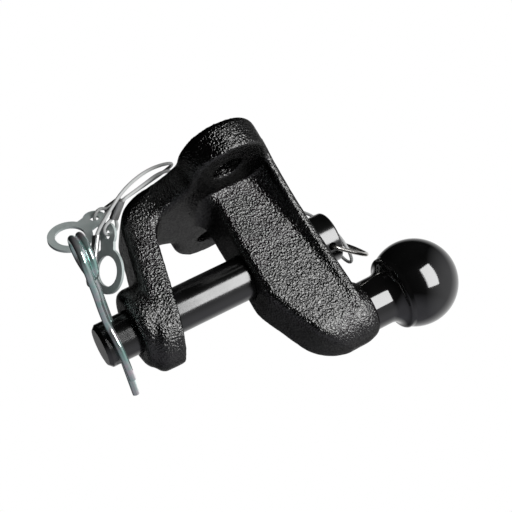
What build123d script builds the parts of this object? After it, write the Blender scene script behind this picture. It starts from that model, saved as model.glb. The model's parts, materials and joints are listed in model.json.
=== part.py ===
from build123d import *
import math
import os

# Combination ball and pin towing coupling, millimetres.
# The origin is the centre of the flange's mounting face, midway between its two bolt holes.
# +X points away from the vehicle, from the flange towards the ball, and +Z is up.

# Flange
flange_thickness = 18.5
bolt_pitch = 90.0
bolt_hole_dia = 17.5
ear_radius = 23.5
flange_crown = 28.0
flange_rear_round = 4.0
flange_front_round = 2.5

# Ball and its seat on the tip of the arm
ball_dia = 50.0
ball_x = 110.0
ball_z = 76.0
neck_dia = 29.0
collar_dia = 39.6
shank_dia = 24.0
shank_depth = 28.0
tip_radius = 18.5
tip_top = 43.0

# Pin
pin_x = 64.0
pin_dia = 25.0
pin_clearance = 0.06
pin_head_dia = 29.0
pin_head_top = 47.5
pin_seat_z = 34.0
pin_bottom = -98.0
clip_hole_z = -88.5
clip_hole_dia = 4.6
clip_azimuth = 45.0
clip_dir = (math.cos(math.radians(clip_azimuth)), math.sin(math.radians(clip_azimuth)), 0)

# Arm
arm_underside = -9.0
arm_edge_height = 4.8
arm_edge_round = 3.0
underside_round = 4.5

# Bail through the pin's head
bail_hole_z = 41.0
bail_hole_dia = 4.6
bail_azimuth = -51.0
bail_dir = (math.cos(math.radians(bail_azimuth)), math.sin(math.radians(bail_azimuth)), 0)
bail_lean = 38.0
bail_wire = 2.4
bail_half = 16.2
bail_reach = 28.0
bail_corner = 3.5

# Retaining clip
clip_wire = 4.0
clip_pitch = 4.3
coil_along = -57.5
coil_radius = 11.0

# Lanyards
cable_dia = 1.9
# Distance back from the tip of each eye and half its width there, from the sleeve to the tip
tag_eye = [(-9.5, 0), (-6, 3.8), (-2.6, 4.2), (0, 1.8)]
clip_eye = [(-15, 0), (-10, 4.6), (-4, 5.5), (0, 2.6)]
bail_eye = [(-34, 0), (-28.5, 6.2), (-20, 7.8), (-11, 7.6), (-4.2, 5.6), (0, 2.2)]
ferrule_length = 11.6
ferrule_width = 5.4
ferrule_height = 3.3
tag_thickness = 1.6
tag_pitch = 19.5
tag_big_dia = 25.0
tag_big_hole = 16.5
tag_small_dia = 13.0
tag_small_hole = 5.0

# Lower jaw
jaw_half = 22.5
jaw_slope = 12.5
jaw_inner_z = -46.5
jaw_tip_x = 69.0
jaw_round = 6.0
throat_round = 10.0
web_root = 20.6
web_top = 24.0
boss_bottom = -79.0
boss_radius = 23.0

os.makedirs("parts", exist_ok=True)


drop = math.tan(math.radians(jaw_slope))
web_lean = math.acos(tip_radius / math.hypot(ball_x, web_root)) - math.atan2(ball_x, web_root)
web_end = (ball_x + tip_radius * math.sin(web_lean), tip_radius * math.cos(web_lean))


def crown_section(x, web, lip, top, neck):
    """Section of the arm's crown at x: a hollow flank out to the lip and a crowned top."""
    with BuildSketch(Plane.YZ.offset(x)) as section:
        with BuildLine():
            side = Line((web, min(neck - 2, web_top - 4)), (web, neck))
            flank = TangentArc(side @ 1, (lip, top - arm_edge_height), tangent=(0, 1))
            edge = Line(flank @ 1, (lip, top - arm_edge_round))
            corner = TangentArc(edge @ 1, (lip - arm_edge_round, top), tangent=(0, 1))
            roof = Line(corner @ 1, (0, top + 0.8))
            Polyline(roof @ 1, (0, min(neck - 2, web_top - 4)), side @ 0)
        make_face()
        mirror(about=Plane.YZ)
    return section.sketch


# x, half width of the web, half width at the lip, top, height where the flank starts
crown_sections = [
    crown_section(8, 20.2, 42.0, 28.0, 5),
    crown_section(28, 19.7, 32.5, 30.2, 14),
    crown_section(50, 19.3, 25.5, 32.8, 20),
    crown_section(78, 18.8, 21.0, 35.8, 26),
    crown_section(112, 18.15, 18.3, 38.7, 32),
]

with BuildPart() as arm_blank:
    # Web of the arm in plan, ending in the round tip below the ball
    with BuildSketch(Plane.XY.offset(-32)):
        with BuildLine():
            near = Line((0, -web_root), (web_end[0], -web_end[1]))
            nose_round = ThreePointArc(near @ 1, (ball_x + tip_radius, 0), web_end)
            Polyline(nose_round @ 1, (0, web_root), near @ 0)
        make_face()
    extrude(amount=32 + web_top)
    # Side view: throat corner at the flange, level underside, climb to the ball, rounded nose
    with BuildSketch(Plane.XZ):
        with BuildLine():
            upright = Line((0, -31), (flange_thickness - 1, -31))
            fore = Line(upright @ 1, (flange_thickness - 1, arm_underside - throat_round))
            inside = TangentArc(
                fore @ 1, (flange_thickness - 1 + throat_round, arm_underside), tangent=(0, 1))
            level = Line(inside @ 1, (79, arm_underside))
            bend = TangentArc(level @ 1, (88, arm_underside + 2.0), tangent=(1, 0))
            ramp = Line(bend @ 1, bend @ 1 + (bend % 1) * 24)
            nose = TangentArc(ramp @ 1, (ball_x + tip_radius - 0.4, 22), tangent=ramp % 1)
            Polyline(nose @ 1, (ball_x + tip_radius - 0.4, web_top), (0, web_top), upright @ 0)
        make_face()
    extrude(amount=60, both=True, mode=Mode.INTERSECT)
    low = arm_blank.edges().filter_by(
        lambda e: e.center().X > 18 and (abs(e.center().Y) > 16 and e.center().Z < 6 or e.center().X > 118)
        and e.center().Z < 16)
    fillet(low, underside_round)

with BuildPart() as jaw_blank:
    # Plan of the lower jaw, with its rounded tip
    with BuildSketch(Plane.XY.offset(-90)):
        with Locations((jaw_tip_x / 2, 0)):
            Rectangle(jaw_tip_x, 2 * jaw_half)
        with Locations((jaw_tip_x, 0)):
            Circle(jaw_half)
    extrude(amount=90 - 12)
    # Side view: the heel curves down from the flange and both faces of the jaw slope to the tip
    with BuildSketch(Plane.XZ):
        with BuildLine():
            back = Line((0, -10), (0, -42))
            heel = TangentArc(back @ 1, (17, -61.0), tangent=(0, -1))
            sole = Line(heel @ 1, (95, -61.0 - 78 * drop))
            tip = Line(sole @ 1, (95, jaw_inner_z - 67 * drop))
            bed = Line(tip @ 1, (31, jaw_inner_z - 3 * drop))
            throat = TangentArc(bed @ 1, (flange_thickness - 1.0, -34), tangent=bed % 1)
            Polyline(throat @ 1, (flange_thickness - 1.0, -10), (0, -10))
        make_face()
    extrude(amount=60, both=True, mode=Mode.INTERSECT)
    outer = jaw_blank.edges().filter_by(
        lambda e: abs(e.center().Y) > 5 and e.center().X < 1
        or e.center().Z < -58 - (e.center().X - 30) * drop and (abs(e.center().Y) > 5 or e.center().X > 85))
    fillet(outer, jaw_round)
    # Boss round the pin
    with BuildSketch(Plane.XZ):
        with BuildLine():
            foot = Line((pin_x, boss_bottom), (pin_x + boss_radius - 5, boss_bottom))
            bulge = TangentArc(foot @ 1, (pin_x + boss_radius, boss_bottom + 5), tangent=(1, 0))
            Polyline(bulge @ 1, (pin_x + boss_radius, -64), (pin_x, -64), foot @ 0)
        make_face()
    revolve(axis=Axis((pin_x, 0, 0), (0, 0, 1)))

with BuildPart() as coupling_body:
    # Flange with its two ears
    with BuildSketch(Plane.YZ):
        with BuildLine():
            Polyline(
                (-bolt_pitch / 2, ear_radius), (-25, flange_crown - 0.5), (25, flange_crown - 0.5),
                (bolt_pitch / 2, ear_radius), (bolt_pitch / 2, -ear_radius), (38, -ear_radius),
                (31, -30), (25, -39), (22, -48), (-22, -48), (-25, -39), (-31, -30), (-38, -ear_radius),
                (-bolt_pitch / 2, -ear_radius), close=True,
            )
        make_face()
        with Locations((-bolt_pitch / 2, 0), (bolt_pitch / 2, 0)):
            Circle(ear_radius)
    extrude(amount=flange_thickness)
    fillet(coupling_body.faces().sort_by(Axis.X)[0].edges(), flange_rear_round)
    loft(crown_sections)
    add(arm_blank)
    add(jaw_blank)
    # Round tip that carries the ball, drawn in towards the neck at its top
    with BuildSketch(Plane.XZ):
        with BuildLine():
            wall = Line((ball_x + tip_radius - 0.2, web_top), (ball_x + tip_radius - 0.2, tip_top - 10))
            shoulder = TangentArc(wall @ 1, (ball_x + neck_dia / 2 + 0.8, tip_top), tangent=(0, 1))
            Polyline(shoulder @ 1, (ball_x, tip_top), (ball_x, web_top), wall @ 0)
        make_face()
    revolve(axis=Axis((ball_x, 0, 0), (0, 0, 1)))
    # Holes for the bolts, the pin and the shank of the ball, and the seat of the pin's head
    with Locations(Plane.YZ.offset(flange_thickness)):
        with GridLocations(bolt_pitch, 1, 2, 1):
            Hole(bolt_hole_dia / 2)
    with Locations((pin_x, 0, pin_seat_z)):
        Cylinder(17, 20, align=(Align.CENTER, Align.CENTER, Align.MIN), mode=Mode.SUBTRACT)
        Hole(pin_dia / 2 + pin_clearance, depth=140)
    with Locations((ball_x, 0, tip_top)):
        Hole(shank_dia / 2, depth=shank_depth)
coupling_body.part.label = "coupling_body"
export_step(coupling_body.part, "parts/coupling_body.step")

with BuildPart() as tow_ball:
    with BuildSketch(Plane.XZ):
        with BuildLine():
            neck_base = (ball_x + neck_dia / 2, tip_top)
            shank = Polyline(
                (ball_x, tip_top - shank_depth), (ball_x + shank_dia / 2, tip_top - shank_depth),
                (ball_x + shank_dia / 2, tip_top), neck_base,
            )
            neck = Line(neck_base, (ball_x + neck_dia / 2, ball_z - 24))
            flare = TangentArc(neck @ 1, (ball_x + collar_dia / 2 - 2.0, ball_z - 17.5), tangent=(0, 1))
            rim = TangentArc(flare @ 1, (ball_x + collar_dia / 2 - 0.6, ball_z - 13.0), tangent=(1, 0.1))
            crease = Line(rim @ 1, (ball_x + 21.6, ball_z - math.sqrt(25.0 ** 2 - 21.6 ** 2)))
            ThreePointArc(crease @ 1, (ball_x + ball_dia / 2, ball_z), (ball_x, ball_z + ball_dia / 2))
            Line((ball_x, ball_z + ball_dia / 2), (ball_x, tip_top - shank_depth))
        make_face()
    revolve(axis=Axis((ball_x, 0, 0), (0, 0, 1)))
tow_ball.part.label = "tow_ball"
export_step(tow_ball.part, "parts/tow_ball.step")

with BuildPart() as coupling_pin:
    with Locations((pin_x, 0, pin_bottom)):
        Cylinder(pin_dia / 2, pin_seat_z - pin_bottom, align=(Align.CENTER, Align.CENTER, Align.MIN))
    with Locations((pin_x, 0, pin_seat_z)):
        Cylinder(pin_head_dia / 2, pin_head_top - pin_seat_z, align=(Align.CENTER, Align.CENTER, Align.MIN))
    chamfer(coupling_pin.edges().sort_by(Axis.Z)[0], 2.0)
    fillet(coupling_pin.edges().sort_by(Axis.Z)[-1], 1.6)
    with BuildSketch(Plane((pin_x, 0, clip_hole_z), z_dir=clip_dir)):
        Circle(clip_hole_dia / 2)
    extrude(amount=20, both=True, mode=Mode.SUBTRACT)
    with BuildSketch(Plane((pin_x, 0, bail_hole_z), z_dir=bail_dir)):
        Circle(bail_hole_dia / 2)
    extrude(amount=20, both=True, mode=Mode.SUBTRACT)
coupling_pin.part.label = "coupling_pin"
export_step(coupling_pin.part, "parts/coupling_pin.step")


def point(centre, u, w, along, across):
    """Point of an eye loop, from its centre, along the loop and across it."""
    return centre + u * along + w * across


def eye(centre, u, w, halves):
    """Route of an eye loop: in the sleeve, out along one side, round the tip and back into the sleeve."""
    gap = cable_dia / 2 + 0.12
    mouth = halves[0][0]
    side = [(mouth - 6, gap), (mouth, gap)] + halves[1:]
    back = [(along, -across) for along, across in halves[:0:-1]]
    end = [(mouth, -gap), (mouth - ferrule_length, -gap)]
    return [point(centre, u, w, along, across) for along, across in side + back + end]


def bend_radii(points):
    """Largest bend radius that fits each corner of a route."""
    radii = []
    for before, here, after in zip(points, points[1:], points[2:]):
        run_in = here - before
        run_out = after - here
        turn = math.radians(run_in.get_angle(run_out))
        radii.append(0.45 * min(run_in.length, run_out.length) / math.tan(turn / 2))
    return radii


def sleeve_plane(centre, u, w, halves):
    """Plane at the mouth of a sleeve, facing away from its loop."""
    return Plane(origin=point(centre, u, w, halves[0][0] - 0.3, 0), x_dir=w, z_dir=u * -1)


pin_axis = Vector(pin_x, 0, 0)
clip_along = Vector(*clip_dir)
clip_across = Vector(clip_dir[1], -clip_dir[0], 0)


def clip_point(along, across, rise):
    """Point of the clip, from the pin's axis at the clip hole."""
    return pin_axis + clip_along * along + clip_across * across + Vector(0, 0, clip_hole_z + rise)


# Clip: straight leg through the pin, coil of one and a half turns, leg that hugs the pin, flared tail
clip_points = [clip_point(v, 0, 0) for v in (36, 12, -14, -40)]
for step in range(13):
    angle = math.radians(-90 - 45 * step)
    clip_points.append(clip_point(
        coil_along + coil_radius * math.cos(angle), coil_radius + coil_radius * math.sin(angle),
        -clip_pitch * step / 8))
clip_points += [
    clip_point(-40, 19.5, -5.4), clip_point(-26, 13.0, -4.2), clip_point(-15.5, 10.2, -3.2),
    clip_point(-8, 13.4, -2.2), clip_point(0, 15.1, -1.4), clip_point(8, 13.0, -0.8),
    clip_point(16, 7.2, -0.3), clip_point(23, 5.6, 0), clip_point(34, 9.5, 0),
]
with BuildPart() as retaining_clip:
    with BuildLine() as clip_route:
        Spline(*clip_points)
    with BuildSketch(Plane(origin=clip_points[0], z_dir=clip_route.line % 0)):
        Circle(clip_wire / 2)
    sweep(path=clip_route.line)
retaining_clip.part.label = "retaining_clip"
export_step(retaining_clip.part, "parts/retaining_clip.step")

# Bail: a D of wire through the pin's head, leaning over
bail_side = Vector(math.cos(math.radians(bail_azimuth)), math.sin(math.radians(bail_azimuth)), 0)
bail_over = Vector(-bail_side.Y, bail_side.X, 0)
bail_up = bail_over * math.sin(math.radians(bail_lean)) + Vector(0, 0, math.cos(math.radians(bail_lean)))
bail_centre = Vector(pin_x, 0, bail_hole_z)
bail_points = [
    bail_centre + bail_side * u + bail_up * w
    for u, w in (
        (0.4, 0), (bail_half, 0), (bail_half, bail_reach * 0.6), (9.5, bail_reach), (-9.5, bail_reach),
        (-bail_half, bail_reach * 0.6), (-bail_half, 0), (-0.4, 0),
    )
]
bail_radii = [bail_corner] + bend_radii(bail_points)[1:-1] + [bail_corner]
with BuildPart() as pin_bail:
    with BuildLine() as bail_route:
        FilletPolyline(*bail_points, radius=bail_radii)
    with BuildSketch(Plane(origin=bail_points[0], z_dir=bail_side)):
        Circle(bail_wire / 2)
    sweep(path=bail_route.line)
pin_bail.part.label = "pin_bail"
export_step(pin_bail.part, "parts/pin_bail.step")

# Loops: tip of each eye, the direction it points in and the direction across it
clip_tag_along = Vector(0.297, -0.277, -0.913).normalized()
clip_tag_wide = Vector(0.74, -0.453, -0.498)
clip_tag_wide = (clip_tag_wide - clip_tag_along * clip_tag_wide.dot(clip_tag_along)).normalized()
clip_tag_face = clip_tag_along.cross(clip_tag_wide)
clip_tag_eye = Vector(-4, 0, -67)
pin_tag_along = Vector(0.83, 0.374, -0.414).normalized()
pin_tag_wide = Vector(0.535, -0.733, 0.41)
pin_tag_wide = (pin_tag_wide - pin_tag_along * pin_tag_wide.dot(pin_tag_along)).normalized()
pin_tag_face = pin_tag_along.cross(pin_tag_wide)
pin_tag_eye = Vector(15, -20, -69)
pin_tag_pull = Vector(0.44, 0.653, -0.612)
pin_tag_pull = (pin_tag_pull - pin_tag_face * pin_tag_pull.dot(pin_tag_face)).normalized()
clip_loop_along = Vector(0.80, 0.30, -0.52).normalized()
clip_loop_tip = clip_point(-42, 0, 0) + clip_loop_along * 6.5
clip_loop_side = clip_across - clip_loop_along * clip_loop_along.dot(clip_across)
clip_loop_side = clip_loop_side.normalized()
bail_loop_tip = Vector(81, 2, 52)
bail_loop_along = Vector(0.838, -0.54, -0.08).normalized()
bail_loop_side = Vector(0.54, 0.838, 0)
bail_loop_side = (bail_loop_side - bail_loop_along * bail_loop_side.dot(bail_loop_along)).normalized()

# Lanyard of the clip: eye round the clip, over the back of the flange, eye in its tag
clip_lanyard_points = eye(clip_loop_tip, clip_loop_along, clip_loop_side, clip_eye) + [
    Vector(11, -40, -67), Vector(4, -41, -52), Vector(-3, -36, -34), Vector(-8, -26, -17),
    Vector(-12, -12, -6), Vector(-13.5, 3, -7), Vector(-13.5, 9, -22),
] + eye(clip_tag_eye, clip_tag_along, clip_tag_face, tag_eye)[::-1]

# Lanyard of the pin: eye through the bail, behind the arm and the flange, eye in its tag
pin_lanyard_points = eye(bail_loop_tip, bail_loop_along, bail_loop_side, bail_eye) + [
    Vector(33, 32, 52), Vector(22, 36, 43), Vector(9, 37, 33), Vector(-4, 34, 24), Vector(-11, 28, 10),
    Vector(-16, 18, -4), Vector(-19, 4, -12), Vector(-16, -10, -15), Vector(-10.5, -21, -22),
    Vector(-5.5, -27, -34), Vector(0.5, -31, -46),
] + eye(pin_tag_eye, pin_tag_pull, pin_tag_face, tag_eye)[::-1]

with BuildPart() as clip_lanyard_cable:
    with BuildLine() as route:
        FilletPolyline(*clip_lanyard_points, radius=bend_radii(clip_lanyard_points))
    with BuildSketch(Plane(origin=clip_lanyard_points[0], z_dir=route.line % 0)):
        Circle(cable_dia / 2)
    sweep(path=route.line)
clip_lanyard_cable.part.label = "clip_lanyard_cable"
export_step(clip_lanyard_cable.part, "parts/clip_lanyard_cable.step")
print("clip lanyard bend radii", [round(r, 1) for r in bend_radii(clip_lanyard_points)])

with BuildPart() as pin_lanyard_cable:
    with BuildLine() as route:
        FilletPolyline(*pin_lanyard_points, radius=bend_radii(pin_lanyard_points))
    with BuildSketch(Plane(origin=pin_lanyard_points[0], z_dir=route.line % 0)):
        Circle(cable_dia / 2)
    sweep(path=route.line)
pin_lanyard_cable.part.label = "pin_lanyard_cable"
export_step(pin_lanyard_cable.part, "parts/pin_lanyard_cable.step")
print("pin lanyard bend radii", [round(r, 1) for r in bend_radii(pin_lanyard_points)])

# Sleeves crimped over both strands at every eye
with BuildPart() as clip_lanyard_ferrules:
    with BuildSketch(sleeve_plane(clip_loop_tip, clip_loop_along, clip_loop_side, clip_eye),
                     sleeve_plane(clip_tag_eye, clip_tag_along, clip_tag_face, tag_eye)):
        SlotOverall(ferrule_width, ferrule_height)
        with Locations((cable_dia / 2 + 0.12, 0), (-cable_dia / 2 - 0.12, 0)):
            Circle(cable_dia / 2, mode=Mode.SUBTRACT)
    extrude(amount=ferrule_length - 0.6)
clip_lanyard_ferrules.part.label = "clip_lanyard_ferrules"
export_step(clip_lanyard_ferrules.part, "parts/clip_lanyard_ferrules.step")

with BuildPart() as pin_lanyard_ferrules:
    with BuildSketch(sleeve_plane(bail_loop_tip, bail_loop_along, bail_loop_side, bail_eye),
                     sleeve_plane(pin_tag_eye, pin_tag_pull, pin_tag_face, tag_eye)):
        SlotOverall(ferrule_width, ferrule_height)
        with Locations((cable_dia / 2 + 0.12, 0), (-cable_dia / 2 - 0.12, 0)):
            Circle(cable_dia / 2, mode=Mode.SUBTRACT)
    extrude(amount=ferrule_length - 0.6)
pin_lanyard_ferrules.part.label = "pin_lanyard_ferrules"
export_step(pin_lanyard_ferrules.part, "parts/pin_lanyard_ferrules.step")


def tag_outline():
    """Figure-eight plate: a small eye for the cable and a big eye for the fixing."""
    with BuildSketch() as outline:
        Circle(tag_small_dia / 2)
        with Locations((tag_pitch, 0)):
            Circle(tag_big_dia / 2)
        with Locations((tag_pitch * 0.35, 0)):
            Rectangle(tag_pitch * 0.5, tag_small_dia * 0.82)
        Circle(tag_small_hole / 2, mode=Mode.SUBTRACT)
        with Locations((tag_pitch, 0)):
            Circle(tag_big_hole / 2, mode=Mode.SUBTRACT)
    return outline.sketch


with BuildPart() as clip_lanyard_tag:
    with BuildSketch(Plane(origin=clip_tag_eye, x_dir=clip_tag_along, z_dir=clip_tag_face)):
        add(tag_outline())
    extrude(amount=tag_thickness / 2, both=True)
clip_lanyard_tag.part.label = "clip_lanyard_tag"
export_step(clip_lanyard_tag.part, "parts/clip_lanyard_tag.step")

with BuildPart() as pin_lanyard_tag:
    with BuildSketch(Plane(origin=pin_tag_eye, x_dir=pin_tag_along, z_dir=pin_tag_face)):
        add(tag_outline())
    extrude(amount=tag_thickness / 2, both=True)
pin_lanyard_tag.part.label = "pin_lanyard_tag"
export_step(pin_lanyard_tag.part, "parts/pin_lanyard_tag.step")
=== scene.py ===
"""Visual model of a bolt-on flange coupling with a tow ball, a lift-out pin and its spring clip."""

import json
import logging
import math
from dataclasses import dataclass, field
from enum import Enum

import bmesh
import bpy
import numpy as np
from mathutils import Matrix, Vector, noise

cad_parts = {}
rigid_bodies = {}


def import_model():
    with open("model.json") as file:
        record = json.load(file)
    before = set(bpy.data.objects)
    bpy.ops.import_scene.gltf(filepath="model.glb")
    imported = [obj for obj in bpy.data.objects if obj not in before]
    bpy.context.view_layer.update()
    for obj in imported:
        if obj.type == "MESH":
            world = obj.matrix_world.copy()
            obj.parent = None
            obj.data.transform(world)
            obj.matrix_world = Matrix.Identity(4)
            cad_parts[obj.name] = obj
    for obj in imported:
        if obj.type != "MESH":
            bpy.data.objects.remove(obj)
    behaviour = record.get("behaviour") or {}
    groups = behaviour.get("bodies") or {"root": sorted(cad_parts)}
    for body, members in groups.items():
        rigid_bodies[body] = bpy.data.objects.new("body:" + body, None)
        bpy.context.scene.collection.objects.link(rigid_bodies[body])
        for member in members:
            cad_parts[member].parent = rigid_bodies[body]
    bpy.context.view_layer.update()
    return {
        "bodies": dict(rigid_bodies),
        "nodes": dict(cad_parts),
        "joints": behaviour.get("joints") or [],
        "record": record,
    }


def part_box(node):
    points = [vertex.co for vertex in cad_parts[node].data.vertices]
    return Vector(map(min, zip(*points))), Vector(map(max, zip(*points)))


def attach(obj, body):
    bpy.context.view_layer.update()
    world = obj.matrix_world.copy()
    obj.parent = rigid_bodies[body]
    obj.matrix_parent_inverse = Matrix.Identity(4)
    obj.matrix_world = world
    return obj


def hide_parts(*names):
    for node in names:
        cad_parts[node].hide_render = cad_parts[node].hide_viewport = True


log = logging.getLogger("coupling")

Point = tuple[float, float, float]
Colour = tuple[float, float, float]

WHITE = (1.0, 1.0, 1.0, 1.0)


class Body(Enum):
    """Bodies that the scene's own pieces ride on."""

    COUPLING = "coupling"
    CLIP = "clip"


@dataclass(frozen=True)
class CameraFit:
    """Camera solved from the photograph."""

    place: Point = (0.2363, -0.6292, -0.2035)
    right: Point = (0.492, -0.141, 0.859)
    up: Point = (-0.830, -0.374, 0.414)
    back: Point = (0.263, -0.916, -0.301)
    focal_px: float = 1227.5
    frame_px: float = 512.0
    sensor_mm: float = 36.0
    clip_start: float = 0.01


class Tree:
    """Small helper that adds and links nodes."""

    def __init__(self, tree: bpy.types.NodeTree) -> None:
        """Keeps the tree and empties it."""
        self.tree = tree
        tree.nodes.clear()

    def add(self, kind: str, settings: dict | None = None, **inputs: object) -> bpy.types.Node:
        """Adds a node.

        Args:
            kind: Node type.
            settings: Properties of the node itself.
            inputs: Socket names with underscores for spaces, or i0, i1 and so on for a socket
                by its number, and a value or an output socket for each.

        Returns:
            The new node.
        """
        made = self.tree.nodes.new(kind)
        for name, value in (settings or {}).items():
            setattr(made, name, value)
        for name, value in inputs.items():
            socket = made.inputs[int(name[1:]) if name[1:].isdigit() else name.replace("_", " ")]
            if isinstance(value, bpy.types.NodeSocket):
                self.link(value, socket)
            else:
                socket.default_value = value
        return made

    def link(self, source: bpy.types.NodeSocket, target: bpy.types.NodeSocket) -> None:
        """Links two sockets."""
        self.tree.links.new(source, target)

    def maths(self, operation: str, *values: object) -> bpy.types.NodeSocket:
        """Adds a node that reckons with numbers.

        Args:
            operation: What the node does.
            values: Its values or output sockets, in order.

        Returns:
            The result's output.
        """
        numbered = {f"i{place}": value for place, value in enumerate(values)}
        return self.add("ShaderNodeMath", {"operation": operation}, **numbered).outputs[0]

    def vectors(self, operation: str, **inputs: object) -> bpy.types.bpy_prop_collection:
        """Adds a node that reckons with vectors.

        Args:
            operation: What the node does.
            inputs: Its inputs, as in add.

        Returns:
            The node's outputs.
        """
        return self.add("ShaderNodeVectorMath", {"operation": operation}, **inputs).outputs

    def spread(
        self, value: bpy.types.NodeSocket, low: float, high: float,
    ) -> bpy.types.NodeSocket:
        """Spreads a value of 0 to 1 between two levels.

        Args:
            value: What is spread.
            low: Level at 0.
            high: Level at 1.

        Returns:
            The result's output.
        """
        return self.add("ShaderNodeMapRange", Value=value, To_Min=low, To_Max=high).outputs[0]

    def ramp(
        self, factor: bpy.types.NodeSocket, low: tuple[float, Colour], high: tuple[float, Colour],
    ) -> bpy.types.NodeSocket:
        """Adds a ramp between two colours.

        Args:
            factor: What drives the ramp.
            low: Position and colour of its lower end.
            high: Position and colour of its upper end.

        Returns:
            The colour output.
        """
        made = self.add("ShaderNodeValToRGB", Fac=factor)
        for element, (place, colour) in zip(made.color_ramp.elements, (low, high)):
            element.position = place
            element.color = (*colour, 1.0)
        return made.outputs["Color"]


def new_material(name: str) -> tuple[bpy.types.Material, Tree]:
    """Makes an empty node material.

    Args:
        name: Name of the finish.

    Returns:
        The material and its tree helper.
    """
    material = bpy.data.materials.new(name)
    material.use_nodes = True
    return material, Tree(material.node_tree)


def close(tree: Tree, shader: bpy.types.NodeSocket) -> None:
    """Links a shader to the material's output."""
    tree.add("ShaderNodeOutputMaterial", Surface=shader)


def show(name: str, data: bpy.types.ID) -> bpy.types.Object:
    """Makes an object of some data and puts it into the scene.

    Args:
        name: Name of the object.
        data: Its mesh, curve, lamp or camera.

    Returns:
        The object.
    """
    made = bpy.data.objects.new(name, data)
    bpy.context.collection.objects.link(made)
    return made


@dataclass(frozen=True)
class CastPaint:
    """Black powder paint over a coarse sand casting."""

    name: str = "black_cast_paint"
    dark: Colour = (0.10, 0.10, 0.10)
    light: Colour = (0.16, 0.16, 0.157)
    light_from: float = 0.45
    edge_tint: tuple[float, float, float, float] = (0.28, 0.28, 0.28, 1.0)
    sheen: float = 1.0
    grain_per_m: float = 820.0
    fine_share: float = 1.15
    pebble_depth: float = -0.65
    pebble_blend: float = 0.7
    warp_per_m: float = 260.0
    warp_m: float = 0.0016
    wear_per_m: float = 55.0
    bump_m: float = 0.00055
    rough_low: float = 0.16
    rough_high: float = 0.26

    def build(self) -> bpy.types.Material:
        """Builds the material: pebbled grain in bump, colour and roughness."""
        material, t = new_material(self.name)
        where = t.add("ShaderNodeTexCoord").outputs["Object"]
        warp = t.add("ShaderNodeTexNoise", Vector=where, Scale=self.warp_per_m, Detail=2.0)
        offset = t.vectors("SCALE", i0=warp.outputs["Color"], Scale=self.warp_m)[0]
        moved = t.vectors("ADD", i0=where, i1=offset)[0]
        pebbles = t.add(
            "ShaderNodeTexVoronoi", {"feature": "SMOOTH_F1"}, Vector=moved,
            Scale=self.grain_per_m, Smoothness=self.pebble_blend,
        )
        fine = t.add(
            "ShaderNodeTexNoise", Vector=where, Scale=self.grain_per_m * self.fine_share,
            Detail=2.0, Roughness=0.5,
        )
        wear = t.add("ShaderNodeTexNoise", Vector=where, Scale=self.wear_per_m, Detail=3.0)
        height = t.maths(
            "MULTIPLY_ADD", pebbles.outputs["Distance"], self.pebble_depth, fine.outputs["Fac"],
        )
        bump = t.add("ShaderNodeBump", Strength=1.0, Distance=self.bump_m, Height=height)
        shader = t.add(
            "ShaderNodeBsdfPrincipled",
            Base_Color=t.ramp(height, (0.0, self.dark), (self.light_from, self.light)),
            Roughness=t.spread(wear.outputs["Fac"], self.rough_low, self.rough_high),
            Normal=bump.outputs[0], Metallic=self.sheen, Specular_Tint=self.edge_tint,
        )
        close(t, shader.outputs[0])
        return material


@dataclass(frozen=True)
class GlossBlack:
    """Smooth gloss black on turned steel."""

    name: str
    rough_low: float = 0.05
    rough_high: float = 0.13
    dark: Colour = (0.003, 0.003, 0.003)
    light: Colour = (0.006, 0.006, 0.006)
    cloud_from: float = 0.3
    cloud_to: float = 0.7
    cloud_per_m: float = 90.0
    turned_per_m: float = 2600.0
    mark_m: float = 0.0001
    mark_strength: float = 0.05
    gloss_index: float = 2.1

    def build(self) -> bpy.types.Material:
        """Builds the material: near black with a bright gloss and faint turning marks."""
        material, t = new_material(self.name)
        where = t.add("ShaderNodeTexCoord").outputs["Object"]
        along = t.add("ShaderNodeSeparateXYZ", Vector=where).outputs["Z"]
        marks = t.add(
            "ShaderNodeTexNoise", {"noise_dimensions": "1D"}, W=along, Scale=self.turned_per_m,
            Detail=1.0,
        )
        cloud = t.add(
            "ShaderNodeTexNoise", Vector=where, Scale=self.cloud_per_m, Detail=4.0,
        ).outputs["Fac"]
        bump = t.add(
            "ShaderNodeBump", Strength=self.mark_strength, Distance=self.mark_m,
            Height=marks.outputs["Fac"],
        )
        shader = t.add(
            "ShaderNodeBsdfPrincipled",
            Base_Color=t.ramp(cloud, (self.cloud_from, self.dark), (self.cloud_to, self.light)),
            Roughness=t.spread(cloud, self.rough_low, self.rough_high),
            Normal=bump.outputs[0], IOR=self.gloss_index,
        )
        close(t, shader.outputs[0])
        return material


@dataclass(frozen=True)
class PlatedSteel:
    """Bright plated or drawn steel with fine scratches."""

    name: str
    base: Colour
    tint: Colour
    rough_low: float
    rough_high: float
    metallic: float = 1.0
    tint_from: float = 0.35
    tint_to: float = 0.65
    tint_per_m: float = 140.0
    scratches_per_m: float = 900.0
    scratch_m: float = 0.0001
    scratch_strength: float = 0.12

    def build(self) -> bpy.types.Material:
        """Builds the material: metal whose tint, roughness and scratches vary."""
        material, t = new_material(self.name)
        where = t.add("ShaderNodeTexCoord").outputs["Object"]
        cloud = t.add(
            "ShaderNodeTexNoise", Vector=where, Scale=self.tint_per_m, Detail=4.0, Roughness=0.6,
        ).outputs["Fac"]
        fine = t.add(
            "ShaderNodeTexNoise", Vector=where, Scale=self.scratches_per_m, Detail=4.0,
            Roughness=0.7,
        ).outputs["Fac"]
        bump = t.add(
            "ShaderNodeBump", Strength=self.scratch_strength, Distance=self.scratch_m, Height=fine,
        )
        shader = t.add(
            "ShaderNodeBsdfPrincipled",
            Base_Color=t.ramp(cloud, (self.tint_from, self.base), (self.tint_to, self.tint)),
            Roughness=t.spread(fine, self.rough_low, self.rough_high),
            Normal=bump.outputs[0], Metallic=self.metallic,
        )
        close(t, shader.outputs[0])
        return material


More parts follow.
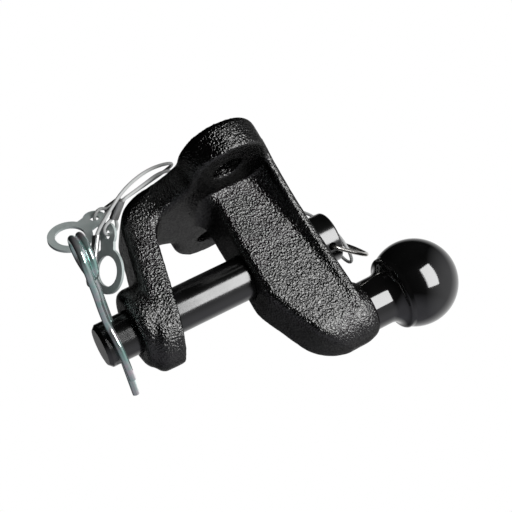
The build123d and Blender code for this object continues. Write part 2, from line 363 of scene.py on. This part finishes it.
@dataclass(frozen=True)
class CoatedCable:
    """Stranded steel cable under a clear plastic coat."""

    name: str = "coated_cable"
    wires_per_turn: float = 7.0
    pitch_m: float = 0.0085
    groove: Colour = (0.56, 0.57, 0.57)
    wire: Colour = (0.76, 0.77, 0.76)
    groove_to: float = 0.1
    dirt_per_m: float = 220.0
    dirt_share: float = 0.35
    groove_m: float = 0.0001
    groove_strength: float = 0.35
    rough_low: float = 0.25
    rough_high: float = 0.45
    specular: float = 0.3
    coat: float = 0.15
    coat_rough: float = 0.15

    def build(self) -> bpy.types.Material:
        """Builds the material: slanted wires seen through a soft gloss coat."""
        material, t = new_material(self.name)
        along, around = (
            t.add("ShaderNodeAttribute", {"attribute_name": name}).outputs["Fac"]
            for name in ("along", "around")
        )
        wound = t.maths("ADD", t.maths("DIVIDE", along, self.pitch_m), around)
        phase = t.maths("MULTIPLY", wound, 2 * math.pi * self.wires_per_turn)
        wave = t.maths("SINE", phase)
        level = t.add("ShaderNodeMapRange", Value=wave, From_Min=-1.0).outputs[0]
        where = t.add("ShaderNodeTexCoord").outputs["Object"]
        dirt = t.add(
            "ShaderNodeTexNoise", Vector=where, Scale=self.dirt_per_m, Detail=3.0,
        ).outputs["Fac"]
        mixed = t.maths("MULTIPLY_ADD", dirt, self.dirt_share, level)
        bump = t.add(
            "ShaderNodeBump", Strength=self.groove_strength, Distance=self.groove_m, Height=level,
        )
        shader = t.add(
            "ShaderNodeBsdfPrincipled",
            Base_Color=t.ramp(mixed, (self.groove_to, self.groove), (1.0, self.wire)),
            Roughness=t.spread(dirt, self.rough_low, self.rough_high),
            Normal=bump.outputs[0], Specular_IOR_Level=self.specular,
            Coat_Weight=self.coat, Coat_Roughness=self.coat_rough,
        )
        close(t, shader.outputs[0])
        return material


def dress(frame: dict, node: str, material: bpy.types.Material) -> bpy.types.Object:
    """Gives a CAD node its finish.

    Args:
        frame: The loaded frame.
        node: Name of the node.
        material: Its finish.

    Returns:
        The node's object.
    """
    piece = frame["nodes"][node]
    piece.data.materials.clear()
    piece.data.materials.append(material)
    log.info("%s wears %s", node, material.name)
    return piece


def nurbs(name: str, points: list[Point]) -> bpy.types.Object:
    """Makes an open NURBS curve of order 3 through control points.

    Args:
        name: Name of the curve.
        points: Control points, in metres.

    Returns:
        The curve's object.
    """
    data = bpy.data.curves.new(name, "CURVE")
    data.dimensions = "3D"
    spline = data.splines.new("NURBS")
    spline.points.add(len(points) - 1)
    for target, point in zip(spline.points, points):
        target.co = (*point, 1.0)
    spline.order_u = 3
    spline.use_endpoint_u = True
    spline.resolution_u = 8
    return show(name, data)


def bezier(name: str, points: list[Vector]) -> bpy.types.Object:
    """Makes an open, smooth curve that passes through its points.

    Args:
        name: Name of the curve.
        points: Points on the curve, in metres.

    Returns:
        The curve's object.
    """
    data = bpy.data.curves.new(name, "CURVE")
    data.dimensions = "3D"
    spline = data.splines.new("BEZIER")
    spline.bezier_points.add(len(points) - 1)
    for target, point in zip(spline.bezier_points, points):
        target.co = point
        target.handle_left_type = target.handle_right_type = "AUTO"
    spline.resolution_u = 12
    return show(name, data)


def line_of(curve: bpy.types.Object) -> list[Vector]:
    """Reads the points of a curve that has no bevel.

    Args:
        curve: The curve's object.

    Returns:
        Its points, in order.
    """
    depsgraph = bpy.context.evaluated_depsgraph_get()
    mesh = bpy.data.meshes.new_from_object(curve.evaluated_get(depsgraph))
    points = [vertex.co.copy() for vertex in mesh.vertices]
    bpy.data.meshes.remove(mesh)
    return points


def plain_mesh(source: bpy.types.Object, name: str) -> bpy.types.Object:
    """Turns an evaluated object into a plain mesh object and removes the source.

    Args:
        source: Object with live modifiers.
        name: Name of the new piece.

    Returns:
        The new object.
    """
    depsgraph = bpy.context.evaluated_depsgraph_get()
    mesh = bpy.data.meshes.new_from_object(
        source.evaluated_get(depsgraph), preserve_all_data_layers=True, depsgraph=depsgraph,
    )
    mesh.name = name
    made = show(name, mesh)
    bpy.data.objects.remove(source)
    return made


@dataclass(frozen=True)
class Tube:
    """Round tube that follows a curve, built with geometry nodes."""

    radius: float
    step: float
    sides: int

    @staticmethod
    def keep(
        t: Tree, name: str, curve: bpy.types.NodeSocket, measure: str,
    ) -> bpy.types.NodeSocket:
        """Keeps a measure of a curve's points under a name, for the material.

        Args:
            t: The tree.
            name: Name of the attribute.
            curve: The curve.
            measure: Which measure of its points.

        Returns:
            The curve with the attribute.
        """
        value = t.add("GeometryNodeSplineParameter").outputs[measure]
        return t.add(
            "GeometryNodeStoreNamedAttribute", {"domain": "POINT"}, Geometry=curve, Name=name,
            Value=value,
        ).outputs[0]

    def tree(self, material: bpy.types.Material) -> tuple[bpy.types.NodeTree, dict[str, float]]:
        """Builds the node tree.

        Args:
            material: Finish of the tube.

        Returns:
            The tree, and the values of its inputs by their identifiers.
        """
        tree = bpy.data.node_groups.new("tube_along_route", "GeometryNodeTree")
        face = tree.interface
        face.new_socket("Geometry", in_out="INPUT", socket_type="NodeSocketGeometry")
        radius = face.new_socket("Radius", in_out="INPUT", socket_type="NodeSocketFloat")
        step = face.new_socket("Step", in_out="INPUT", socket_type="NodeSocketFloat")
        face.new_socket("Geometry", in_out="OUTPUT", socket_type="NodeSocketGeometry")
        t = Tree(tree)
        given = t.add("NodeGroupInput").outputs
        even = t.add("GeometryNodeResampleCurve", Curve=given["Geometry"])
        even.mode = "LENGTH"
        t.link(given["Step"], even.inputs["Length"])
        ring = t.add(
            "GeometryNodeCurvePrimitiveCircle", Resolution=self.sides, Radius=given["Radius"],
        )
        tube = t.add(
            "GeometryNodeCurveToMesh", Curve=self.keep(t, "along", even.outputs[0], "Length"),
            Profile_Curve=self.keep(t, "around", ring.outputs[0], "Factor"), Fill_Caps=True,
        )
        whole = t.add("GeometryNodeRealizeInstances", Geometry=tube.outputs[0])
        smooth = t.add("GeometryNodeSetShadeSmooth", Geometry=whole.outputs[0])
        painted = t.add(
            "GeometryNodeSetMaterial", Geometry=smooth.outputs[0], Material=material,
        )
        t.add("NodeGroupOutput", i0=painted.outputs[0])
        return tree, {radius.identifier: self.radius, step.identifier: self.step}

    def follow(
        self, curve: bpy.types.Object, material: bpy.types.Material, name: str,
    ) -> bpy.types.Object:
        """Makes the tube.

        Args:
            curve: The route.
            material: Finish of the tube.
            name: Name of the new piece.

        Returns:
            A plain mesh object.
        """
        modifier = curve.modifiers.new("tube", "NODES")
        modifier.node_group, values = self.tree(material)
        for key, value in values.items():
            modifier[key] = value
        return plain_mesh(curve, name)


@dataclass
class Lanyard:
    """Cable with an eye at each end, its two sleeves and its tag."""

    cable: str
    ferrules: str
    tag: str
    length: float
    route: list[Point]
    diameter: float = 0.0019
    step: float = 0.0008
    sides: int = 18
    body: Body = Body.COUPLING

    def build(
        self, frame: dict, coat: bpy.types.Material, sleeve: bpy.types.Material,
        zinc: bpy.types.Material,
    ) -> None:
        """Makes the cable and dresses its sleeves and its tag.

        Args:
            frame: The loaded frame.
            coat: Finish of the cable.
            sleeve: Finish of the sleeves.
            zinc: Finish of the tag.
        """
        curve = nurbs(self.cable + "_route", self.route)
        path = line_of(curve)
        tube = Tube(self.diameter / 2, self.step, self.sides)
        piece = tube.follow(curve, coat, self.cable + "_line")
        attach(piece, self.body.value)
        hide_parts(self.cable)
        sleeves = dress(frame, self.ferrules, sleeve)
        tag = dress(frame, self.tag, zinc)
        log.info("%s: %d route points", self.cable, len(self.route))


CLIP_ROUTE: list[Point] = [
    (0.0232, -0.0350, -0.0808), (0.0280, -0.0332, -0.0839), (0.0336, -0.0347, -0.0858),
    (0.0388, -0.0337, -0.0887), (0.0407, -0.0300, -0.0914), (0.0383, -0.0255, -0.0924),
    (0.0338, -0.0242, -0.0909), (0.0294, -0.0267, -0.0876), (0.0270, -0.0313, -0.0843),
    (0.0177, -0.0348, -0.0783), (0.0110, -0.0392, -0.0674), (0.0030, -0.0410, -0.0545),
    (-0.0032, -0.0363, -0.0385), (-0.0072, -0.0252, -0.0240), (-0.0111, -0.0105, -0.0142),
    (-0.0146, 0.0030, -0.0150), (-0.0143, 0.0090, -0.0272), (-0.0098, 0.0068, -0.0478),
    (-0.0063, 0.0036, -0.0584), (-0.0040, 0.0050, -0.0620), (-0.0028, 0.0044, -0.0651),
    (-0.0032, 0.0016, -0.0672), (-0.0048, -0.0016, -0.0668), (-0.0067, -0.0030, -0.0641),
    (-0.0075, -0.0017, -0.0611), (-0.0073, 0.0017, -0.0582), (-0.0091, 0.0034, -0.0527),
]

PIN_ROUTE: list[Point] = [
    (0.0481, 0.0245, 0.0552), (0.0531, 0.0213, 0.0547), (0.0605, 0.0226, 0.0543),
    (0.0685, 0.0194, 0.0536), (0.0759, 0.0143, 0.0529), (0.0805, 0.0090, 0.0523),
    (0.0822, 0.0038, 0.0520), (0.0798, 0.0002, 0.0520), (0.0744, -0.0004, 0.0523),
    (0.0677, 0.0016, 0.0529), (0.0600, 0.0062, 0.0536), (0.0538, 0.0122, 0.0543),
    (0.0519, 0.0195, 0.0547), (0.0422, 0.0257, 0.0556), (0.0330, 0.0320, 0.0520),
    (0.0220, 0.0360, 0.0430), (0.0090, 0.0370, 0.0330), (-0.0040, 0.0340, 0.0240),
    (-0.0110, 0.0280, 0.0100), (-0.0125, 0.0170, -0.0048), (-0.0108, 0.0031, -0.0125),
    (-0.0085, -0.0100, -0.0187), (-0.0050, -0.0208, -0.0285), (0.0000, -0.0278, -0.0395),
    (0.0040, -0.0328, -0.0497), (0.0056, -0.0340, -0.0562), (0.0109, -0.0260, -0.0628),
    (0.0129, -0.0220, -0.0625), (0.0145, -0.0194, -0.0641), (0.0153, -0.0190, -0.0675),
    (0.0147, -0.0210, -0.0705), (0.0132, -0.0242, -0.0709), (0.0117, -0.0263, -0.0687),
    (0.0105, -0.0272, -0.0645), (0.0078, -0.0313, -0.0611),
]


@dataclass
class CastBracket:
    """Skin of the casting: eased edges, a faint unevenness and true bores."""

    node: str = "coupling_body"
    slot: str = "cast_black"
    weld: float = 1e-6
    voxel: float = 0.00105
    ease_all: int = 3
    ease_trunk: int = 34
    ease_share: float = 0.5
    trunk_front: float = 0.030
    trunk_top: float = -0.012
    trunk_foot: float = -0.072
    trunk_inner: float = 0.014
    trunk_fade: float = 0.010
    side_fade: float = 0.006
    wave: float = 0.00016
    wave_per_m: float = 120.0
    ripple: float = 0.00007
    ripple_per_m: float = 330.0
    bolt_y: float = 0.045
    bolt_radius: float = 0.00875
    bolt_depth: float = 0.019
    pin_x: float = 0.064
    pin_radius: float = 0.01262
    wall_near: float = 0.0006
    face_near: float = 0.0003

    def skin(self, frame: dict) -> bpy.types.Object:
        """Copies the casting, merges it and meshes it evenly.

        Args:
            frame: The loaded frame.

        Returns:
            The new piece, before its surface is worked.
        """
        mesh = frame["nodes"][self.node].data.copy()
        work = bmesh.new()
        work.from_mesh(mesh)
        bmesh.ops.remove_doubles(work, verts=work.verts, dist=self.weld)
        work.to_mesh(mesh)
        work.free()
        blank = show("cast_blank", mesh)
        even = blank.modifiers.new("even", "REMESH")
        even.mode = "VOXEL"
        even.voxel_size = self.voxel
        return plain_mesh(blank, "cast_bracket")

    def trunk(self, places: np.ndarray) -> np.ndarray:
        """Gives how much each place belongs to the trunk's sides, from 0 to 1.

        Args:
            places: Vertex places.

        Returns:
            The shares.
        """
        x, y, z = places[:, 0], places[:, 1], places[:, 2]
        share = np.clip((self.trunk_front - x) / self.trunk_fade, 0, 1)
        share *= np.clip((self.trunk_top - z) / self.trunk_fade, 0, 1) * np.clip(
            (z - self.trunk_foot) / self.trunk_fade, 0, 1,
        )
        return share * np.clip((np.abs(y) - self.trunk_inner) / self.side_fade, 0, 1)

    def ease(self, places: np.ndarray, edges: np.ndarray) -> np.ndarray:
        """Rounds the edges, most where the trunk meets the ears.

        Args:
            places: Vertex places.
            edges: Vertex pairs.

        Returns:
            The eased places.
        """
        count = len(places)
        near = np.concatenate([edges[:, 0], edges[:, 1]])
        far = np.concatenate([edges[:, 1], edges[:, 0]])
        links = np.maximum(np.bincount(near, minlength=count), 1)[:, None]
        trunk = self.trunk(places)[:, None]
        for turn in range(self.ease_trunk):
            sums = [
                np.bincount(near, weights=places[far, axis], minlength=count) for axis in range(3)
            ]
            mean = np.stack(sums, axis=1) / links
            share = self.ease_share if turn < self.ease_all else self.ease_share * trunk
            places = places + (mean - places) * share
        return places

    def roughen(self, places: np.ndarray, normals: np.ndarray) -> np.ndarray:
        """Adds the casting's unevenness.

        Args:
            places: Vertex places.
            normals: Vertex normals.

        Returns:
            The moved places.
        """
        lift = np.array([
            self.wave * noise.noise(Vector(place) * self.wave_per_m)
            + self.ripple * noise.noise(Vector(place) * self.ripple_per_m)
            for place in places
        ])
        return places + normals * lift[:, None]

    def true_up(
        self, places: np.ndarray, axes: tuple[int, int], centre: tuple[float, float],
        radius: float, depth: float,
    ) -> None:
        """Sets the wall of one bore to its true radius.

        Args:
            places: Vertex places, which are changed.
            axes: The two axes across the bore.
            centre: The bore's centre on them.
            radius: Its radius.
            depth: How far from the mounting face it reaches.
        """
        arm = places[:, axes] - np.array(centre)
        reach = np.linalg.norm(arm, axis=1)
        wall = (reach < radius + self.wall_near) & (places[:, 0] < depth)
        true = np.array(centre) + arm[wall] / reach[wall, None] * radius
        places[np.ix_(wall, axes)] = true

    def bores(self, places: np.ndarray) -> np.ndarray:
        """Makes the bores true and the mounting face flat again.

        Args:
            places: Vertex places.

        Returns:
            The corrected places.
        """
        out = places.copy()
        for side in (-1.0, 1.0):
            centre = (side * self.bolt_y, 0.0)
            self.true_up(out, (1, 2), centre, self.bolt_radius, self.bolt_depth)
        self.true_up(out, (0, 1), (self.pin_x, 0.0), self.pin_radius, math.inf)
        out[out[:, 0] < self.face_near, 0] = 0.0
        return out

    def build(self, frame: dict, paint: bpy.types.Material) -> None:
        """Makes the skin and puts it in the casting's place.

        Args:
            frame: The loaded frame.
            paint: Finish of the casting.
        """
        piece = self.skin(frame)
        mesh = piece.data
        count = len(mesh.vertices)
        places = np.empty(count * 3)
        mesh.vertices.foreach_get("co", places)
        edges = np.empty(len(mesh.edges) * 2, dtype=np.int64)
        mesh.edges.foreach_get("vertices", edges)
        places = self.ease(places.reshape(-1, 3), edges.reshape(-1, 2))
        mesh.vertices.foreach_set("co", places.ravel())
        mesh.update()
        normals = np.empty(count * 3)
        mesh.vertices.foreach_get("normal", normals)
        places = self.bores(self.roughen(places, normals.reshape(-1, 3)))
        low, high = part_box(self.node)
        places = np.clip(places, np.array(low), np.array(high))
        mesh.vertices.foreach_set("co", places.ravel())
        mesh.polygons.foreach_set("use_smooth", [True] * len(mesh.polygons))
        mesh.update()
        mesh.materials.clear()
        mesh.materials.append(paint)
        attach(piece, Body.COUPLING.value)
        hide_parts(self.node)
        log.info("%s: %d faces", piece.name, len(mesh.polygons))


@dataclass
class TowBall:
    """Turned ball with its neck and a flared collar."""

    node: str = "tow_ball"
    slot: str = "ball_black"
    axis_x: float = 0.110
    foot_z: float = 0.038
    foot_rise: float = 0.008
    neck_radius: float = 0.0145
    neck_top: float = 0.0525
    flare_out: float = 0.0070
    flare_up: float = 0.0080
    flare_deg: float = 80.0
    flare_rows: int = 12
    lip: tuple[tuple[float, float], ...] = ((0.0006, 0.0003), (0.0010, 0.0009))
    ball_z: float = 0.076
    ball_radius: float = 0.025
    ball_rows: int = 64
    meet_radius: float = 0.0213
    sides: int = 144
    sharp_deg: float = 42.0

    def profile(self) -> list[tuple[float, float]]:
        """Gives radius and height of the turned profile, from the foot to just under the top."""
        line = [(self.neck_radius, self.foot_z), (self.neck_radius, self.foot_z + self.foot_rise)]
        for row in range(self.flare_rows + 1):
            turn = math.radians(self.flare_deg * row / self.flare_rows)
            line.append((
                self.neck_radius + self.flare_out * (1 - math.cos(turn)),
                self.neck_top + self.flare_up * math.sin(turn),
            ))
        collar_r, collar_z = line[-1]
        line += [(collar_r + out, collar_z + rise) for out, rise in self.lip]
        start = math.asin(self.meet_radius / self.ball_radius)
        for row in range(self.ball_rows):
            turn = math.pi - start - (math.pi - start) * row / self.ball_rows
            line.append((
                self.ball_radius * math.sin(turn), self.ball_z + self.ball_radius * math.cos(turn),
            ))
        return line

    def build(self, finish: bpy.types.Material) -> None:
        """Turns the profile and puts the piece in the ball's place.

        Args:
            finish: Finish of the ball.
        """
        line = self.profile()
        top = self.ball_z + self.ball_radius
        spots = [(self.axis_x, 0.0, self.foot_z), (self.axis_x, 0.0, top)]
        poles = len(spots)
        faces: list[tuple[int, ...]] = []
        for row, (radius, height) in enumerate(line):
            first = poles + row * self.sides
            for side in range(self.sides):
                turn = 2 * math.pi * side / self.sides
                spots.append((
                    self.axis_x + radius * math.cos(turn), radius * math.sin(turn), height,
                ))
                here, beside = first + side, first + (side + 1) % self.sides
                if row == 0:
                    faces.append((0, beside, here))
                if row < len(line) - 1:
                    faces.append((here, beside, beside + self.sides, here + self.sides))
                else:
                    faces.append((here, beside, 1))
        mesh = bpy.data.meshes.new("turned_ball")
        mesh.from_pydata(spots, [], faces)
        mesh.polygons.foreach_set("use_smooth", [True] * len(mesh.polygons))
        mesh.set_sharp_from_angle(angle=math.radians(self.sharp_deg))
        mesh.materials.append(finish)
        piece = show("turned_ball", mesh)
        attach(piece, Body.COUPLING.value)
        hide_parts(self.node)
        log.info("%s: %d faces", piece.name, len(mesh.polygons))


@dataclass
class SpringClip:
    """Spring clip of round wire: a straight leg, a coil and a bowed leg."""

    node: str = "retaining_clip"
    slot: str = "clip_zinc"
    wire: float = 0.004
    step: float = 0.0009
    sides: int = 24
    centre: Point = (0.064, 0.0, -0.0885)
    azimuth_deg: float = 45.0
    leg: tuple[float, ...] = (0.036, 0.024, 0.012, 0.0, -0.014, -0.028, -0.040)
    coil_along: float = -0.0575
    coil_radius: float = 0.011
    coil_pitch: float = 0.0043
    coil_from_deg: float = -90.0
    coil_points: int = 13
    points_per_turn: int = 8
    bow: tuple[Point, ...] = (
        (-0.040, 0.0189, -0.0056), (-0.026, 0.0132, -0.0046), (-0.0155, 0.0108, -0.0037),
        (-0.008, 0.0134, -0.0031), (0.0, 0.0153, -0.0027), (0.009, 0.0149, -0.0023),
        (0.018, 0.0139, -0.0019),
    )

    def place(self, along: float, across: float, rise: float) -> Vector:
        """Gives a point of the clip.

        Args:
            along: Distance along the straight leg from the pin's axis.
            across: Distance across it.
            rise: Height above it.

        Returns:
            The point.
        """
        turn = math.radians(self.azimuth_deg)
        return Vector(self.centre) + Vector((
            along * math.cos(turn) + across * math.sin(turn),
            along * math.sin(turn) - across * math.cos(turn), rise,
        ))

    def points(self) -> list[Vector]:
        """Gives the points of the wire's centre line."""
        line = [self.place(along, 0.0, 0.0) for along in self.leg]
        for number in range(self.coil_points):
            angle = math.radians(self.coil_from_deg - 360 / self.points_per_turn * number)
            line.append(self.place(
                self.coil_along + self.coil_radius * math.cos(angle),
                self.coil_radius + self.coil_radius * math.sin(angle),
                -self.coil_pitch * number / self.points_per_turn,
            ))
        return line + [self.place(*spot) for spot in self.bow]

    def build(self, finish: bpy.types.Material) -> None:
        """Makes the wire and puts it in the clip's place.

        Args:
            finish: Finish of the wire.
        """
        curve = bezier("clip_route", self.points())
        piece = Tube(self.wire / 2, self.step, self.sides).follow(curve, finish, "spring_clip")
        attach(piece, Body.CLIP.value)
        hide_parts(self.node)
        log.info("%s: %d faces", piece.name, len(piece.data.polygons))


@dataclass(frozen=True)
class Softbox:
    """Rectangular lamp that faces the object."""

    direction: Point = (0.25, -0.80, 0.40)
    distance: float = 1.0
    size: tuple[float, float] = (0.92, 0.56)
    power: float = 9.0
    aim: Point = (0.06, 0.0, 0.0)

    def build(self) -> None:
        """Makes the lamp."""
        data = bpy.data.lights.new("softbox", "AREA")
        data.shape = "RECTANGLE"
        data.size, data.size_y = self.size
        data.energy = self.power
        lamp = show("softbox", data)
        towards = Vector(self.direction).normalized()
        lamp.location = Vector(self.aim) + towards * self.distance
        lamp.rotation_euler = towards.to_track_quat("Z", "Y").to_euler()


@dataclass(frozen=True)
class Surroundings:
    """Room round the object: a pale table below, a screen beside and white paper behind it."""

    dark: Colour = (0.005, 0.005, 0.005)
    table: Colour = (0.22, 0.22, 0.24)
    table_from: float = 0.45
    table_to: float = 0.9
    screen: Colour = (0.34, 0.34, 0.35)
    screen_from: float = 0.4
    screen_to: float = 0.95
    paper_right: float = 0.42
    paper_down: float = 0.15
    paper_from: float = 0.60
    paper_to: float = 0.98

    def build(self, fit: CameraFit) -> None:
        """Makes the world: white to the camera, a soft grey room to everything else.

        Args:
            fit: The camera, whose directions place the table, the screen and the paper.
        """
        world = bpy.data.worlds.new("studio")
        bpy.context.scene.world = world
        world.use_nodes = True
        t = Tree(world.node_tree)
        rays = t.add("ShaderNodeLightPath").outputs
        ways = t.add("ShaderNodeTexCoord").outputs["Generated"]
        right, up, back = (Vector(way) for way in (fit.right, fit.up, fit.back))
        paper = (right * self.paper_right - up * self.paper_down - back).normalized()
        down, away, aside = (
            t.vectors("DOT_PRODUCT", i0=ways, i1=tuple(way))["Value"]
            for way in (-up, paper, right)
        )
        table = t.ramp(down, (self.table_from, self.dark), (self.table_to, self.table))
        screen = t.ramp(
            aside, (self.screen_from, (0.0, 0.0, 0.0)), (self.screen_to, self.screen),
        )
        behind = t.add(
            "ShaderNodeMapRange", Value=away, From_Min=self.paper_from, From_Max=self.paper_to,
        ).outputs[0]
        mirrored = t.maths("MAXIMUM", rays["Is Glossy Ray"], rays["Is Transmission Ray"])
        shown = t.maths("MULTIPLY", mirrored, behind)
        seen = t.maths("MAXIMUM", rays["Is Camera Ray"], shown)
        room = t.add(
            "ShaderNodeMix", {"data_type": "RGBA", "blend_type": "ADD"}, i0=1.0, i6=table,
            i7=screen,
        ).outputs[2]
        colour = t.add("ShaderNodeMix", {"data_type": "RGBA"}, i0=seen, i6=room, i7=WHITE)
        light = t.add("ShaderNodeBackground", Color=colour.outputs[2])
        t.add("ShaderNodeOutputWorld", Surface=light.outputs[0])


@dataclass(frozen=True)
class PaleFloor:
    """Plain pale floor that shows only from above."""

    level: float = -0.125
    half: float = 3.0
    dark: Colour = (0.37, 0.37, 0.37)
    light: Colour = (0.41, 0.41, 0.41)
    speck_per_m: float = 40.0
    rough: float = 0.8
    glow: float = 0.5

    def build(self) -> None:
        """Makes the floor."""
        material, t = new_material("pale_floor")
        where = t.add("ShaderNodeTexCoord").outputs["Object"]
        speck = t.add("ShaderNodeTexNoise", Vector=where, Scale=self.speck_per_m)
        top = t.add(
            "ShaderNodeBsdfPrincipled",
            Base_Color=t.ramp(speck.outputs["Fac"], (0.3, self.dark), (0.7, self.light)),
            Roughness=self.rough, Emission_Color=WHITE, Emission_Strength=self.glow,
        )
        clear = t.add("ShaderNodeBsdfTransparent")
        below = t.add("ShaderNodeNewGeometry").outputs["Backfacing"]
        seen = t.add("ShaderNodeLightPath").outputs["Is Camera Ray"]
        hidden = t.maths("MAXIMUM", below, t.maths("SUBTRACT", 1.0, seen))
        both = t.add(
            "ShaderNodeMixShader", Fac=hidden, i1=top.outputs[0], i2=clear.outputs[0],
        )
        close(t, both.outputs[0])
        mesh = bpy.data.meshes.new("pale_floor")
        around = ((-1, -1), (1, -1), (1, 1), (-1, 1))
        corners = [(x * self.half, y * self.half, self.level) for x, y in around]
        mesh.from_pydata(corners, [], [(0, 1, 2, 3)])
        mesh.materials.append(material)
        show("pale_floor", mesh)


@dataclass(frozen=True)
class Studio:
    """Camera, lamp, floor and surroundings."""

    fit: CameraFit = field(default_factory=CameraFit)

    def camera(self) -> None:
        """Makes the camera of the photograph."""
        data = bpy.data.cameras.new("photo_camera")
        data.sensor_width = self.fit.sensor_mm
        data.lens = self.fit.sensor_mm * self.fit.focal_px / self.fit.frame_px
        data.clip_start = self.fit.clip_start
        camera = show("photo_camera", data)
        turn = Matrix((self.fit.right, self.fit.up, self.fit.back)).transposed()
        camera.matrix_world = Matrix.Translation(self.fit.place) @ turn.normalized().to_4x4()
        bpy.context.scene.camera = camera

    def build(self) -> None:
        """Makes the whole studio."""
        bpy.context.scene.view_settings.view_transform = "Standard"
        self.camera()
        Surroundings().build(self.fit)
        PaleFloor().build()
        Softbox().build()


def main() -> None:
    """Loads the frame and dresses every part."""
    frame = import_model()
    Studio().build()
    paint = CastPaint().build()
    coat = CoatedCable().build()
    sleeve = PlatedSteel(
        "satin_sleeve", base=(0.62, 0.63, 0.62), tint=(0.74, 0.74, 0.72),
        rough_low=0.22, rough_high=0.42,
    ).build()
    zinc = PlatedSteel(
        "tag_plate", base=(0.66, 0.76, 0.74), tint=(0.82, 0.89, 0.87),
        rough_low=0.28, rough_high=0.44, metallic=0.2,
    ).build()
    clip_zinc = PlatedSteel(
        "bright_zinc", base=(0.55, 0.90, 0.82), tint=(1.0, 0.90, 0.96),
        rough_low=0.07, rough_high=0.16, metallic=0.82,
    ).build()
    wire = PlatedSteel(
        "bright_wire", base=(0.60, 0.59, 0.56), tint=(0.76, 0.74, 0.70),
        rough_low=0.15, rough_high=0.30,
    ).build()
    CastBracket().build(frame, paint)
    TowBall().build(GlossBlack("gloss_black_ball").build())
    pin_black = GlossBlack("gloss_black_pin", rough_low=0.12, rough_high=0.24).build()
    dress(frame, "coupling_pin", pin_black)
    dress(frame, "pin_bail", wire)
    SpringClip().build(clip_zinc)
    Lanyard(
        "clip_lanyard_cable", "clip_lanyard_ferrules", "clip_lanyard_tag",
        length=0.242, route=CLIP_ROUTE,
    ).build(frame, coat, sleeve, zinc)
    Lanyard(
        "pin_lanyard_cable", "pin_lanyard_ferrules", "pin_lanyard_tag",
        length=0.315, route=PIN_ROUTE,
    ).build(frame, coat, sleeve, zinc)


if __name__ == "__main__":
    logging.basicConfig(level=logging.INFO)
    main()
